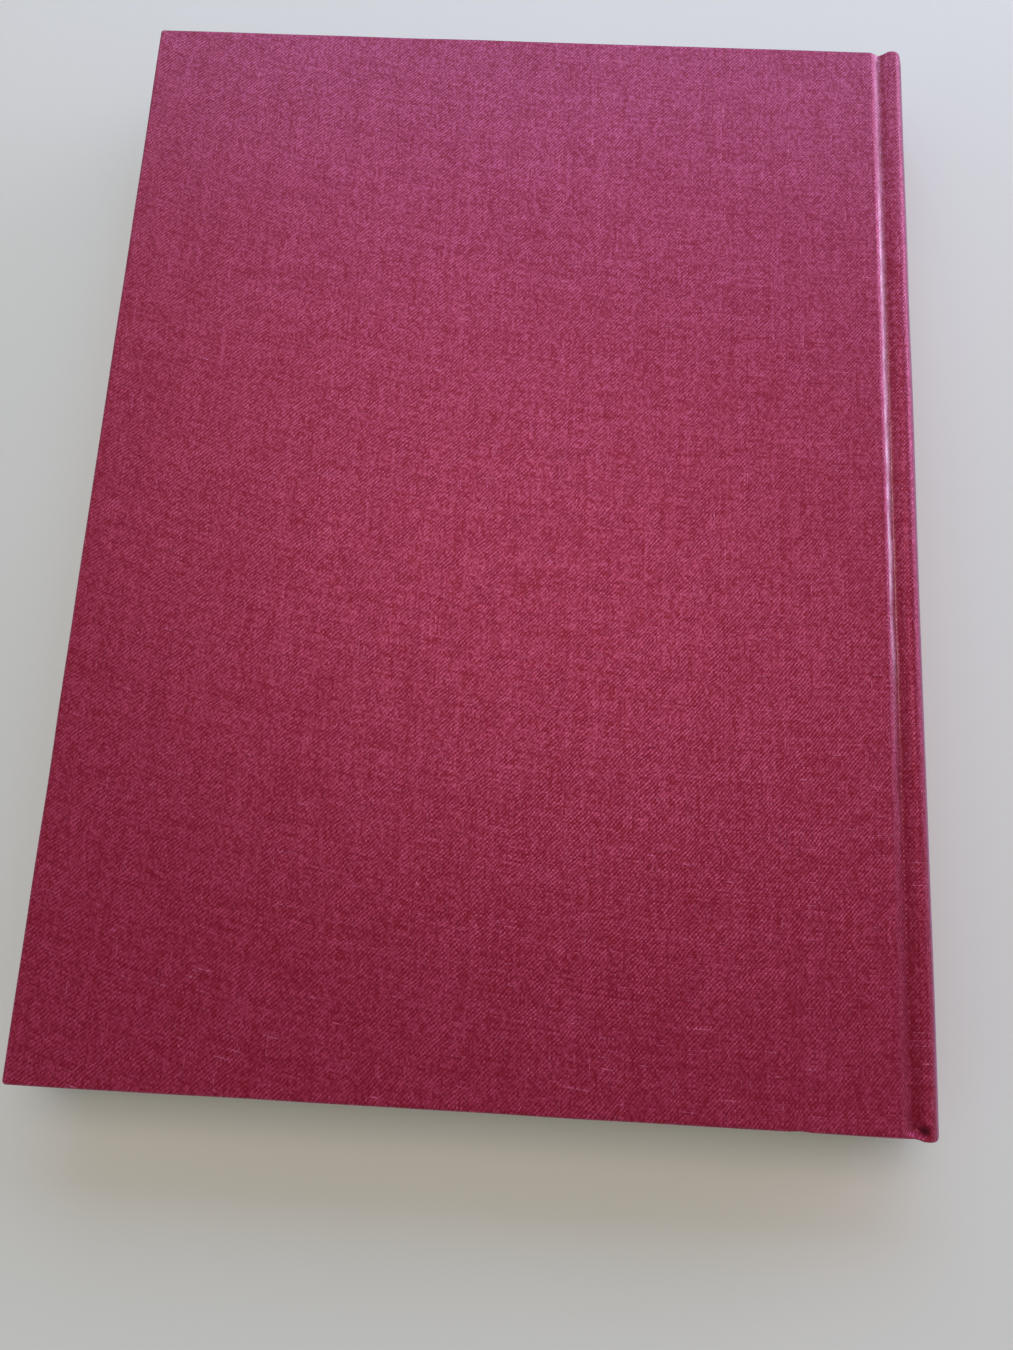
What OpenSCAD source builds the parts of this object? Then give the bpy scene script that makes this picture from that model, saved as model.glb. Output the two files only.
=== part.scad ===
// Cloth-bound hardback book with a rounded and backed spine, a hollow back and French joints.
// It lies on its front cover. X runs from the fore-edge to the spine, Y from tail to head, Z up.
// The origin is the middle of the closed book's footprint, on the surface it rests on.

/* [Leaves] */
// Height of a leaf, from tail to head
page_h = 286; // [180:1:330]
// Thickness of all the leaves together
page_t = 16.5; // [12:0.5:26]
// Depth of the hollow in the fore-edge, which mirrors the rounded back
fore_hollow = 2.6; // [1:0.1:4]
// Thickness of an endpaper, for the free leaf and for the pastedown
endpaper_t = 0.15; // [0.1:0.01:0.3]

/* [Boards] */
// Width of a board, from its fore-edge to its edge at the groove
board_w = 206.8; // [120:0.2:260]
// Thickness of a board
board_t = 2.4; // [1.5:0.1:3.5]
// How far the boards reach past the leaves at head, tail and fore-edge
square_w = 3; // [2:0.1:6]
// Radius that the two outer corners of a board are knocked down to
board_corner_r = 1.2; // [0.5:0.1:4]

/* [Cloth] */
// Thickness of the book cloth
cloth_t = 0.4; // [0.25:0.05:0.6]
// Width of cloth that is turned in behind a board or inside the spine
turn_in_w = 15; // [8:0.5:25]
// Width of the seam where the turned-in edges meet at a corner of a board
mitre_gap = 0.2; // [0.1:0.05:0.5]
// Radius of the cloth where it wraps a board's edge
wrap_r = 0.7; // [0.62:0.01:1.2]
// How far the spine cloth stands past the covers at head and tail
cap_over = 0.4; // [0:0.1:0.8]

/* [Groove and spine] */
// Distance from a board's edge to the bottom of the groove
groove_x = 2.9; // [2.2:0.1:4.5]
// Depth of the groove below the cover's face
groove_depth = 1.35; // [0.8:0.05:1.8]
// Radius at the bottom of the groove
groove_r = 0.7; // [0.5:0.1:1.2]
// Radius where the cloth rolls off the board into the groove
roll_r = 2.2; // [1:0.1:3]
// Distance from a board's edge to the crest of the spine's ridge
ridge_x = 6.5; // [6:0.1:8]
// Radius of the ridge
ridge_r = 3; // [2.6:0.1:3.6]
// How far the ridge stays below the cover's face
ridge_drop = 0.15; // [0.05:0.05:0.4]
// Radius of the rounded spine, outside the cloth
spine_r = 20; // [17:0.5:30]
// Distance from a board's edge to the line where the leaves rise to their shoulder
shoulder_x = 0.9; // [0.8:0.05:1.4]
// Radius of the leaves at the tip of their shoulder
shoulder_r = 1.5; // [1:0.1:1.8]
// How far the shoulder's tip stays below the cloth turned in over it
shoulder_slack = 0.45; // [0.4:0.05:0.7]

/* [Linings] */
// Thickness of the mull
mull_t = 0.2; // [0.1:0.05:0.25]
// Width of mull that is glued to a board
mull_flange_w = 25; // [12:1:40]
// Distance between the mull and the cloth turned in at head and tail
mull_clear = 0.5; // [0:0.5:10]
// Thickness of the paper lining on the back
lining_t = 0.3; // [0.2:0.05:0.5]
// How far the paper lining stops short of the leaves at head and tail
lining_inset = 1; // [0:0.5:5]
// Thickness of the card strip in the spine
inlay_t = 0.5; // [0.3:0.05:0.8]
// Clearance between the long edges of the card strip and the cloth turned in round them
card_clear = 0.05; // [0.02:0.01:0.1]
// Diameter of the bead on a head band
bead_d = 2; // [1.2:0.1:2.4]
// Clearance between the lining and the cloth turned in over it
hollow_clear = 0.1; // [0.05:0.05:0.3]

/* [Hinge] */
// Distance from a board's edge to the line that the cover turns about
hinge_x = 5.5; // [5.2:0.1:6.5]
// Gap between the cloth of the cover and the cloth of the groove
hinge_gap = 0.2; // [0.1:0.05:0.4]
// Distance from a board's edge to the end of the cover's own cloth
cover_cloth_x = 0.9; // [0.6:0.1:1.1]
// Angle that a cover opens to in this view
open_angle = 0; // [0:5:180]

/* [Hidden] */
// Degrees of an arc for each straight piece of it
arc_step = 6;
// How far a cut runs past what it cuts
over = 1;

cloth_color = [0.56, 0.2, 0.3];
paper_color = [0.93, 0.9, 0.82];
endpaper_color = [0.9, 0.87, 0.8];
board_color = [0.55, 0.53, 0.49];
mull_color = [0.88, 0.86, 0.8];
lining_color = [0.72, 0.6, 0.44];
band_color = [0.85, 0.8, 0.7];

// Heights above the middle of the book's thickness, for the upper half. The lower half mirrors it.
leaf_z = page_t / 2 + endpaper_t;
turn_in_z = leaf_z + endpaper_t;
board_z = turn_in_z + cloth_t;
face_z = board_z + board_t + cloth_t;
book_t = 2 * face_z;

board_h = page_h + 2 * square_w;
cover_h = board_h + 2 * cloth_t;

// The outer ridge is a circle that touches the spine's circle from inside, and so is the leaves' shoulder.
ridge_z = face_z - ridge_drop - ridge_r;
ridge_angle = asin(ridge_z / (spine_r - ridge_r));
back_r = spine_r - 2 * cloth_t - inlay_t - hollow_clear - lining_t - mull_t;
tip_z = ridge_z + ridge_r - 2 * cloth_t - shoulder_slack - shoulder_r;
tip_angle = asin(tip_z / (back_r - shoulder_r));

// Places along X, with the closed book's footprint centred.
spine_reach = ridge_x + spine_r - (spine_r - ridge_r) * cos(ridge_angle);
book_w = cloth_t + board_w + spine_reach;
board_fore_x = cloth_t - book_w / 2;
board_edge_x = board_fore_x + board_w;
spine_centre_x = book_w / 2 - spine_r;
leaf_fore_x = board_fore_x + square_w;
leaf_fold_x = board_edge_x + shoulder_x;
mull_inset = turn_in_w - square_w + mull_clear;
hinge_place = [board_edge_x + hinge_x, (board_z + face_z) / 2];

function polar(r, a) = [r * cos(a), r * sin(a)];
function unit(v) = v / norm(v);
function left_of(a, b) = [-unit(b - a).y, unit(b - a).x];
function flip(points) = [for (i = [len(points) - 1:-1:0]) points[i]];
function mirrored(points) = [for (p = flip(points)) [p.x, -p.y]];

// An even number, so that a facet's corner lies on the middle of the arc
function arc_steps(angle) = 2 * ceil(angle / 2 / arc_step);

// Where two lines meet, each given by a point and its direction
function crossing(p, u, q, v) = p + u * cross(q - p, v) / cross(u, v);

// Direction of the line from p that touches a circle above its centre
function tangent_to(p, centre, r) =
    let (away = centre - p)
    polar(1, atan2(away.y, away.x) + asin(r / norm(away)));

// The arc that rounds corner q between p and s, moved by side to the left of the path
function corner_arc(p, q, s, r, side) =
    let (
        n1 = left_of(p, q),
        n2 = left_of(q, s),
        turn = sign(cross(q - p, s - q)),
        centre = q + turn * r * (n1 + n2) / (1 + n1 * n2),
        start = atan2(n1.y, n1.x),
        sweep = atan2(cross(n1, n2), n1 * n2),
        steps = arc_steps(abs(sweep))
    )
    [for (i = [0:steps]) centre - turn * (r - turn * side) * polar(1, start + sweep * i / steps)];

// A path of straight runs through the corners, each rounded to its radius
function rounded_path(corners, radii, side = 0) =
    let (last = len(corners) - 1)
    concat(
        [corners[0] + side * left_of(corners[0], corners[1])],
        [for (i = [1:last - 1])
            for (point = corner_arc(corners[i - 1], corners[i], corners[i + 1], radii[i - 1], side)) point],
        [corners[last] + side * left_of(corners[last - 1], corners[last])]
    );

function mirrored_corners(upper, middle) = concat(upper, [middle], mirrored(upper));
function mirrored_radii(upper, middle) = concat(upper, [middle], flip(upper));

// Section of the cloth: over the board, into the groove, over the ridge and round the spine
ridge_centre = [spine_centre_x, 0] + polar(spine_r - ridge_r, ridge_angle);
roll_corner = [board_edge_x + roll_r / 6, face_z];
groove_corner = [board_edge_x + groove_x, face_z - groove_depth];
ridge_corner = crossing(
    groove_corner, tangent_to(groove_corner, ridge_centre, ridge_r),
    [spine_centre_x, 0] + polar(spine_r, ridge_angle), polar(1, ridge_angle + 90)
);
spine_corner = [spine_centre_x + spine_r / cos(ridge_angle), 0];
cloth_corners = mirrored_corners(
    [[board_edge_x - 2 * roll_r, face_z], roll_corner, groove_corner, ridge_corner], spine_corner);
cloth_radii = mirrored_radii([roll_r, groove_r, ridge_r], spine_r);

// Section of the leaves: flat to the shoulder line, up to the shoulder's tip and round the back
tip_centre = [spine_centre_x, 0] + polar(back_r - shoulder_r, tip_angle);
fold_corner = [leaf_fold_x, page_t / 2];
tip_corner = crossing(
    fold_corner, tangent_to(fold_corner, tip_centre, shoulder_r),
    [spine_centre_x, 0] + polar(back_r, tip_angle), polar(1, tip_angle + 90)
);
back_corner = [spine_centre_x + back_r / cos(tip_angle), 0];
leaf_corners = mirrored_corners([[leaf_fore_x, page_t / 2], fold_corner, tip_corner], back_corner);
leaf_radii = mirrored_radii([shoulder_r, shoulder_r], back_r);

function ring_points(r, half) =
    let (steps = arc_steps(2 * half))
    [for (i = [0:steps]) [spine_centre_x, 0] + polar(r, half - 2 * half * i / steps)];

// Hollow of the fore-edge, as an arc from the lower face to the upper one
function fore_edge_points() =
    let (
        r = (pow(page_t / 2, 2) + pow(fore_hollow, 2)) / (2 * fore_hollow),
        half = asin(page_t / 2 / r),
        steps = arc_steps(2 * half)
    )
    [for (i = [1:steps - 1])
        [leaf_fore_x + fore_hollow - r, 0] + polar(r, 2 * half * i / steps - half)];

// A flat section, drawn as [x, z], stretched along Y about the middle
module along_y(length) {
    translate([0, length / 2, 0])
        rotate([90, 0, 0])
            linear_extrude(height = length)
                children();
}

// A band between two depths of one path
module path_band(corners, radii, inner, outer) {
    polygon(concat(rounded_path(corners, radii, outer), flip(rounded_path(corners, radii, inner))));
}

// A band round the back between two radii
module back_band(inner_r, outer_r, half) {
    polygon(concat(ring_points(outer_r, half), flip(ring_points(inner_r, half))));
}

module box_between(low, high) {
    translate(low)
        cube(high - low);
}

// Keeps what lies beyond a place along X
module beyond(x) {
    intersection() {
        children();
        translate([x, -face_z - over])
            square([book_w, 2 * (face_z + over)]);
    }
}

// Lifts the model from its own middle onto the surface
module rest() {
    translate([0, 0, face_z])
        children();
}

// A piece of the back cover, or its mirror image for the front cover, opened about its hinge line
module on_cover(back) {
    rest()
        mirror([0, 0, back ? 0 : 1])
            translate([hinge_place.x, 0, hinge_place.y])
                rotate([0, open_angle, 0])
                    translate([-hinge_place.x, 0, -hinge_place.y])
                        children();
}

module leaves_section() {
    polygon(concat(rounded_path(leaf_corners, leaf_radii), fore_edge_points()));
}

module text_block() {
    color(paper_color)
        rest()
            along_y(page_h)
                leaves_section();
}

module flyleaf(back) {
    color(endpaper_color)
        rest()
            mirror([0, 0, back ? 0 : 1])
                box_between([leaf_fore_x, -page_h / 2, page_t / 2], [leaf_fold_x - shoulder_r, page_h / 2, leaf_z]);
}

module spine_mull() {
    color(mull_color)
        rest()
            along_y(page_h - 2 * mull_inset)
                beyond(leaf_fold_x)
                    path_band(leaf_corners, leaf_radii, 0, mull_t);
}

module spine_lining() {
    color(lining_color)
        rest()
            along_y(page_h - 2 * lining_inset)
                back_band(back_r + mull_t, back_r + mull_t + lining_t, tip_angle);
}

// A bead that lies on the ends of the leaves, on a tape that is glued to the back
module end_band(head) {
    tape_h = mull_inset + bead_d / 2;
    color(band_color)
        rest()
            mirror([0, head ? 0 : 1, 0])
                union() {
                    translate([0, page_h / 2 - mull_inset + tape_h / 2, 0])
                        along_y(tape_h)
                            back_band(back_r, back_r + mull_t, tip_angle);
                    translate([spine_centre_x, page_h / 2 + bead_d / 2, 0])
                        rotate([90, 0, 0])
                            rotate([0, 0, -tip_angle])
                                rotate_extrude(angle = 2 * tip_angle, $fn = 120)
                                    translate([back_r + mull_t / 2 - bead_d / 2, 0])
                                        circle(d = bead_d, $fn = 32);
                }
}

module spine_inlay() {
    color(lining_color)
        rest()
            along_y(board_h)
                back_band(spine_r - cloth_t - inlay_t, spine_r - cloth_t, ridge_angle);
}

// Plan of the spine cloth, which is a little longer over the spine than in the groove
module spine_cloth_plan() {
    start = board_edge_x + cover_cloth_x + hinge_gap;
    polygon([
        [start, -cover_h / 2],
        [ridge_centre.x, -cover_h / 2 - cap_over],
        [book_w, -cover_h / 2 - cap_over],
        [book_w, cover_h / 2 + cap_over],
        [ridge_centre.x, cover_h / 2 + cap_over],
        [start, cover_h / 2]
    ]);
}

// One side of the turned-in cloth: through a groove, down the step beside the card, round the card, and mirrored
function turn_in_edge(side, ring, last) =
    let (half = concat(
        [for (p = rounded_path(cloth_corners, cloth_radii, side))
            if (p.y > 0 && atan2(p.y - ridge_centre.y, p.x - ridge_centre.x) > last) p],
        [for (r = [ridge_r + side, ring - spine_r + ridge_r]) ridge_centre + polar(r, last)]
    ))
    concat(half, ring_points(ring, ridge_angle), mirrored(half));

// Section of the turned-in cloth: doubled in the grooves, and over the card strip on the spine
module turn_in_section() {
    inner_r = spine_r - 2 * cloth_t - inlay_t;
    card_side = ridge_angle + card_clear / ridge_r * 180 / PI;
    step_side = card_side + cloth_t / ridge_r * 180 / PI;
    polygon(concat(
        turn_in_edge(-cloth_t / 2, inner_r + cloth_t, card_side),
        flip(turn_in_edge(-2 * cloth_t, inner_r, step_side))
    ));
}

// The cloth turned in round one end of the spine
module spine_turn_in() {
    inner_r = spine_r - 2 * cloth_t - inlay_t;
    end_y = cover_h / 2 + cap_over;
    translate([0, end_y - turn_in_w / 2, 0])
        along_y(turn_in_w)
            turn_in_section();
    translate([0, (board_h / 2 + end_y) / 2, 0])
        along_y(end_y - board_h / 2)
            back_band(inner_r, spine_r, ridge_angle);
}

module spine_cloth() {
    color(cloth_color)
        rest()
            intersection() {
                union() {
                    along_y(cover_h + 2 * cap_over)
                        path_band(cloth_corners, cloth_radii, -cloth_t, 0);
                    spine_turn_in();
                    mirror([0, 1, 0])
                        spine_turn_in();
                }
                translate([0, 0, -face_z])
                    linear_extrude(height = book_t)
                        spine_cloth_plan();
            }
}

// A rectangle with its two corners at the fore-edge rounded
module board_plan(reach, height, r) {
    low_x = board_fore_x - reach;
    translate([low_x + r, -height / 2])
        square([board_edge_x - low_x - r, height]);
    translate([low_x, r - height / 2])
        square([2 * r, height - 2 * r]);
    for (y = [-1, 1])
        translate([low_x + r, y * (height / 2 - r)])
            circle(r, $fn = 48);
}

module board_solid() {
    translate([0, 0, board_z])
        linear_extrude(height = board_t)
            board_plan(0, board_h, board_corner_r);
}

module board(back) {
    color(board_color)
        on_cover(back)
            board_solid();
}

// The cloth's outer form over one cover, seen along Y: wrapped at the fore-edge, rolling off at the groove
module wrap_section() {
    low = [board_fore_x - cloth_t, turn_in_z];
    end_x = board_edge_x + cover_cloth_x;
    top = rounded_path(
        [[board_edge_x, turn_in_z], low, [low.x, face_z], roll_corner, groove_corner],
        [wrap_r, wrap_r, roll_r]);
    intersection() {
        polygon(concat(top, [[groove_corner.x, turn_in_z]]));
        translate(low)
            square([end_x - low.x, face_z - low.y]);
    }
}

// The cloth's outer form seen along X: wrapped at head and tail
module wrap_ends() {
    half = cover_h / 2;
    polygon(rounded_path(
        [[0, turn_in_z], [-half, turn_in_z], [-half, face_z], [half, face_z], [half, turn_in_z], [0, turn_in_z]],
        [wrap_r, wrap_r, wrap_r, wrap_r]));
}

// What is left open behind the cloth: between the turned-in edges, and under the roll beside the board
module behind_cloth() {
    turned = turn_in_w;
    box_between(
        [board_fore_x + turned, turned - board_h / 2, turn_in_z - over],
        [board_edge_x + groove_x, board_h / 2 - turned, board_z]
    );
    along_y(cover_h + 2 * over)
        intersection() {
            polygon(concat(
                rounded_path([[leaf_fore_x, face_z], roll_corner, groove_corner], [roll_r], -cloth_t),
                [[groove_corner.x, turn_in_z - over], [leaf_fore_x, turn_in_z - over]]));
            translate([board_edge_x, turn_in_z - over])
                square([groove_x, book_t]);
        }
}

// The seam along the diagonal where two turned-in edges meet
module mitre(head) {
    mirror([0, head ? 0 : 1, 0])
        translate([board_fore_x + board_corner_r, board_h / 2 - board_corner_r, turn_in_z - over])
            rotate([0, 0, -45])
                translate([0, -mitre_gap / 2, 0])
                    cube([sqrt(2) * turn_in_w, mitre_gap, cloth_t + over]);
}

module cover_cloth(back) {
    color(cloth_color)
        on_cover(back)
            difference() {
                intersection() {
                    along_y(cover_h)
                        wrap_section();
                    translate([-book_w, 0, 0])
                        rotate([90, 0, 90])
                            linear_extrude(height = 2 * book_w)
                                wrap_ends();
                    translate([0, 0, turn_in_z])
                        linear_extrude(height = face_z - turn_in_z)
                            union() {
                                board_plan(cloth_t, cover_h, board_corner_r + cloth_t);
                                translate([board_edge_x - over, -cover_h / 2])
                                    square([groove_x, cover_h]);
                            }
                }
                board_solid();
                behind_cloth();
                mitre(true);
                mitre(false);
            }
}

// Where the mull is glued to the board, grown by a margin on the sides that the pastedown covers
module mull_flange(margin, low_z, high_z) {
    box_between(
        [board_edge_x - mull_flange_w - margin, mull_inset - page_h / 2 - margin, low_z],
        [board_edge_x, page_h / 2 - mull_inset + margin, high_z]
    );
}

module cover_mull(back) {
    color(mull_color)
        on_cover(back)
            mull_flange(0, board_z - mull_t, board_z);
}

// The glued leaf steps over the turned-in cloth and over the mull
module pastedown(back) {
    window_low = [board_fore_x + turn_in_w, turn_in_w - board_h / 2];
    window_high = [board_edge_x, board_h / 2 - turn_in_w];
    hollow_low = window_low + [endpaper_t, endpaper_t];
    hollow_high = window_high - [endpaper_t, endpaper_t];
    color(endpaper_color)
        on_cover(back)
            difference() {
                union() {
                    box_between([leaf_fore_x, -page_h / 2, leaf_z], [board_edge_x, page_h / 2, turn_in_z]);
                    box_between([window_low.x, window_low.y, leaf_z], [window_high.x, window_high.y, board_z]);
                }
                difference() {
                    box_between(
                        [hollow_low.x, hollow_low.y, leaf_z - over],
                        [hollow_high.x, hollow_high.y, board_z - endpaper_t]
                    );
                    mull_flange(endpaper_t, board_z - mull_t - endpaper_t, board_z);
                }
                mull_flange(0, board_z - mull_t, board_z + over);
            }
}

text_block();
flyleaf(true);  // back_flyleaf
flyleaf(false);  // front_flyleaf
spine_mull();
spine_lining();
end_band(true);  // head_band
end_band(false);  // tail_band
spine_inlay();
spine_cloth();
board(true);  // back_board
cover_cloth(true);  // back_cloth
cover_mull(true);  // back_mull
pastedown(true);  // back_pastedown
board(false);  // front_board
cover_cloth(false);  // front_cloth
cover_mull(false);  // front_mull
pastedown(false);  // front_pastedown
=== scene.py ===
# A cloth-bound hardback book that lies on its front cover, with the spine at the right and the head away.
import math
import random

import bmesh
import bpy
import numpy as np
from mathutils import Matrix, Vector, noise


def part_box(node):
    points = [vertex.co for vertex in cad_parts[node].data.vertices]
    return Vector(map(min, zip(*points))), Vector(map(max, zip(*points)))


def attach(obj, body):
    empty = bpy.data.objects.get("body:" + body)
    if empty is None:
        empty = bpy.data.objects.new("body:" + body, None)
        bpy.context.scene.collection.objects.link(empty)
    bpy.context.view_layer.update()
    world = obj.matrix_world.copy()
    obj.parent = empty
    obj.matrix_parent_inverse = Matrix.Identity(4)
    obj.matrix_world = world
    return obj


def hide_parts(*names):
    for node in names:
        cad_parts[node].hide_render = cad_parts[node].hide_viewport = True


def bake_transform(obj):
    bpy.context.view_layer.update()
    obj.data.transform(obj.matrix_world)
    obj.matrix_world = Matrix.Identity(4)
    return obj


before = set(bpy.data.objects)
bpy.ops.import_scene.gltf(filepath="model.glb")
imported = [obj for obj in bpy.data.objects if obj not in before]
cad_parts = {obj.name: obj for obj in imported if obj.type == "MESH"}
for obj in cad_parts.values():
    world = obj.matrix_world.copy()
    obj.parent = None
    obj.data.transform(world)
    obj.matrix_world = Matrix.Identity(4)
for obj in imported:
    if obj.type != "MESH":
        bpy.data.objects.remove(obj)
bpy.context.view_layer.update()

mm = 0.001
scene = bpy.context.scene
scene.view_settings.view_transform = "Standard"


# Materials: helpers

def hexToLinear(code):
    channels = [int(code[i:i + 2], 16) / 255 for i in (1, 3, 5)]
    linear = [c / 12.92 if c <= 0.04045 else ((c + 0.055) / 1.055) ** 2.4 for c in channels]
    return (*linear, 1.0)


def addNode(tree, kind, links=None, values=None, **settings):
    node = tree.nodes.new("ShaderNode" + kind)
    for name, value in settings.items():
        setattr(node, name, value)
    for socket, value in (values or {}).items():
        node.inputs[socket].default_value = value
    for socket, source in (links or {}).items():
        if isinstance(source, bpy.types.Node):
            source = next(output for output in source.outputs if output.enabled)
        tree.links.new(source, node.inputs[socket])
    return node


def newMaterial(name, values):
    material = bpy.data.materials.new(name)
    material.use_nodes = True
    shader = material.node_tree.nodes["Principled BSDF"]
    for socket, value in values.items():
        shader.inputs[socket].default_value = value
    return material, material.node_tree, shader


# What was worked out for a material, put on its shader: the colour, and the height that its bump follows
def finishMaterial(tree, shader, colour, height, depth):
    bump = addNode(tree, "Bump", {"Height": height}, {"Distance": depth, "Strength": 1.0})
    tree.links.new(next(output for output in colour.outputs if output.enabled), shader.inputs["Base Color"])
    tree.links.new(bump.outputs["Normal"], shader.inputs["Normal"])


# A material whose grain is one layer of noise, which mixes its two colours and raises its surface
def grainedMaterial(name, look):
    material, tree, shader = newMaterial(name, look["surface"])
    place = addNode(tree, "TexCoord").outputs["Object"]
    grain = addNode(tree, "VectorMath", {0: place}, {1: [1 / size for size in look["grain"]]},
                    operation="MULTIPLY")
    noisy = addNode(tree, "TexNoise", {"Vector": grain},
                    {"Scale": 1.0, "Detail": look["detail"], "Roughness": look["coarse"]})
    low, high = look["spread"]
    spread = addNode(tree, "MapRange", {"Value": noisy}, {"From Min": low, "From Max": high})
    mixed = addNode(tree, "Mix", {"Factor": spread},
                    {"A": hexToLinear(look["dark"]), "B": hexToLinear(look["light"])}, data_type="RGBA")
    finishMaterial(tree, shader, mixed, noisy, look["depth"])
    return material


# Materials: the book's own

# Starch-filled cotton book cloth, plain woven of uneven yarn and dyed in the piece. The crossings line up as
# a diagonal hatch, slubs and neps stand out pinker, and the pressed filler gives a broad shine.
bookClothLook = dict(
    warpPitch=0.47 * mm,  # the real threads lie 0.45 mm apart, a little too fine to show in the render
    weftPitch=0.56 * mm,  # real: 0.53 mm
    hatchMain=1.0,
    hatchCross=0.3,
    wander=0.8,  # in threads
    clouds=dict(  # each layer's size across and along in mm, and its detail
        warpWander=(4, 22, 1), weftWander=(22, 4, 1),
        warpYarn=(0.50, 20, 2), weftYarn=(18, 0.60, 2),
        warpBand=(2.6, 60, 1), weftBand=(60, 3.0, 1),
        patches=(6, 6, 3), mottle=(1.6, 1.2, 2),
        warpSlub=(0.5, 10, 1), weftSlub=(9, 0.6, 1), slubPatches=(16, 16, 1), glaze=(2.5, 5, 2),
    ),
    cloudStart=(3.1, 5.7),  # where the first layer lies in the noise
    cloudStep=(7.3, 4.1),  # and how far on the next one lies
    patchRange=(0.3, 0.7),
    hatchStrength=(0.12, 0.28),  # outside the patches and in them
    yarnStrength=0.38,
    bandStrength=0.16,
    mottleStrength=0.22,
    crossingStrength=0.58,
    slubStart=0.775,
    slubRamp=0.08,
    slubPatchRange=(0.35, 0.65),
    slubPatchShift=0.03,  # slubs come in patches: the start moves down and up by this
    slubDots=0.9,  # a slub dips under the threads that cross it, so it shows as uneven dots
    neps=[(47.3, -6.7), (-38.3, -64.4), (27.7, -38.2), (-16.8, -95.8), (-51.4, -24.7), (-69.9, -135.7)],  # mm
    nepSize=0.55 * mm,
    threadHeight=0.08 * mm,
    gloss=(0.2, 1.85),  # the gaps between threads lie in shade, and the filler on their tops shines
    shine="#d8c4fb",  # the filler's own lilac shine over the magenta dye
    dark="#760e1f",
    light="#a2163a",
    fleck=1.7,  # a few crossings stand well above a darker ground
    slub="#bb5068",
    jointAt=209.05 * mm,  # the joint was ironed shut, which glazed the slope down from the board
    jointWide=1.4 * mm,
    paintedSpineShade=(0.6 * mm, 1.8 * mm, -0.05),  # painted shade on the joint and spine: from how far past the joint to how far, and how much darker
    valley=(1.5 * mm, 1.1 * mm, -0.12),  # how far past the joint, half width and shade: painted shade in the groove
    crushed=(212.9 * mm, -144.5 * mm, 1.9 * mm, -0.7),  # place, reach and shade: painted shade in the crushed dent at the tail
    markCore=0.3,  # the share of a mark's reach that has its full shade
    # the colour of the painted shade in the crushed dent, and the share of its reach that this colour covers
    dentShadeColour="#3a0a12",
    dentShadeShare=0.75,
    glazeFades=[  # where the glaze changes along the spine, from which share to which
        (-60 * mm, 25 * mm, 0.0, 2.2),
        (95 * mm, 145 * mm, 1.0, 0.3),
    ],
)


# A layer of noise for each kind of unevenness, stretched along the thread that it belongs to
def clothClouds(tree, place):
    look = bookClothLook
    (startX, startY), (stepX, stepY) = look["cloudStart"], look["cloudStep"]
    clouds = {}
    for seed, (name, (wide, tall, detail)) in enumerate(look["clouds"].items()):
        start = (startX + stepX * seed, startY + stepY * seed, 0)
        moved = addNode(tree, "VectorMath", {0: place}, {1: (1 / (wide * mm), 1 / (tall * mm), 0), 2: start},
                        operation="MULTIPLY_ADD")
        clouds[name] = addNode(tree, "TexNoise", {"Vector": moved}, {"Scale": 1, "Detail": detail},
                               noise_dimensions="2D")
    return clouds


# Where a point lies among the warp and weft threads, as thread counts that wander a little
def threadCounts(tree, parts, clouds):
    look = bookClothLook
    counts = []
    for axis, pitch, wander in (("X", look["warpPitch"], "warpWander"),
                                ("Y", look["weftPitch"], "weftWander")):
        straight = addNode(tree, "Math", {0: parts.outputs[axis]}, {1: pitch}, operation="DIVIDE")
        counts.append(addNode(tree, "Math", {0: clouds[wander], 2: straight}, {1: look["wander"] * 2},
                              operation="MULTIPLY_ADD"))
    return counts


# The diagonal rows in which the crossings line up, strong one way and faint the other: the rows are the
# weave's own, and one way being stronger is painted shading, as from a light at one side
def shadedDiagonalHatch(tree, counts):
    waves = []
    for operation, share in (("SUBTRACT", bookClothLook["hatchMain"]), ("ADD", -bookClothLook["hatchCross"])):
        both = addNode(tree, "Math", {0: counts[0], 1: counts[1]}, operation=operation)
        turned = addNode(tree, "Math", {0: both}, {1: math.pi}, operation="MULTIPLY")
        swing = addNode(tree, "Math", {0: turned}, operation="COSINE")
        waves.append(addNode(tree, "Math", {0: swing}, {1: share}, operation="MULTIPLY"))
    return addNode(tree, "Math", {0: waves[0], 1: waves[1]}, operation="ADD")


# One value for each crossing of two threads
def crossingTones(tree, counts):
    cells = [addNode(tree, "Math", {0: count}, operation="FLOOR") for count in counts]
    cell = addNode(tree, "CombineXYZ", {0: cells[0], 1: cells[1]})
    return addNode(tree, "TexWhiteNoise", {"Vector": cell}, noise_dimensions="2D")


# The tone: the hatch, stronger in some patches, and each thread a little thicker or thinner than the next
def wovenTone(tree, hatch, clouds):
    look = bookClothLook
    (low, high), (weak, strong) = look["patchRange"], look["hatchStrength"]
    strength = addNode(tree, "MapRange", {"Value": clouds["patches"]},
                       {"From Min": low, "From Max": high, "To Min": weak, "To Max": strong})
    tone = addNode(tree, "Math", {0: hatch, 1: strength}, {2: 0.5}, operation="MULTIPLY_ADD")
    for name, share in (("warpYarn", look["yarnStrength"]), ("weftYarn", look["yarnStrength"]),
                        ("warpBand", look["bandStrength"]), ("weftBand", look["bandStrength"]),
                        ("mottle", look["mottleStrength"]), ("crossing", look["crossingStrength"])):
        around = addNode(tree, "Math", {0: clouds[name]}, {1: 0.5}, operation="SUBTRACT")
        tone = addNode(tree, "Math", {0: around, 2: tone}, {1: share}, operation="MULTIPLY_ADD")
    return tone


# How far a point lies from a line that runs along the spine
def offLine(tree, parts, at):
    past = addNode(tree, "Math", {0: parts.outputs["X"]}, {1: at}, operation="SUBTRACT")
    return addNode(tree, "Math", {0: past}, operation="ABSOLUTE")


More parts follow.
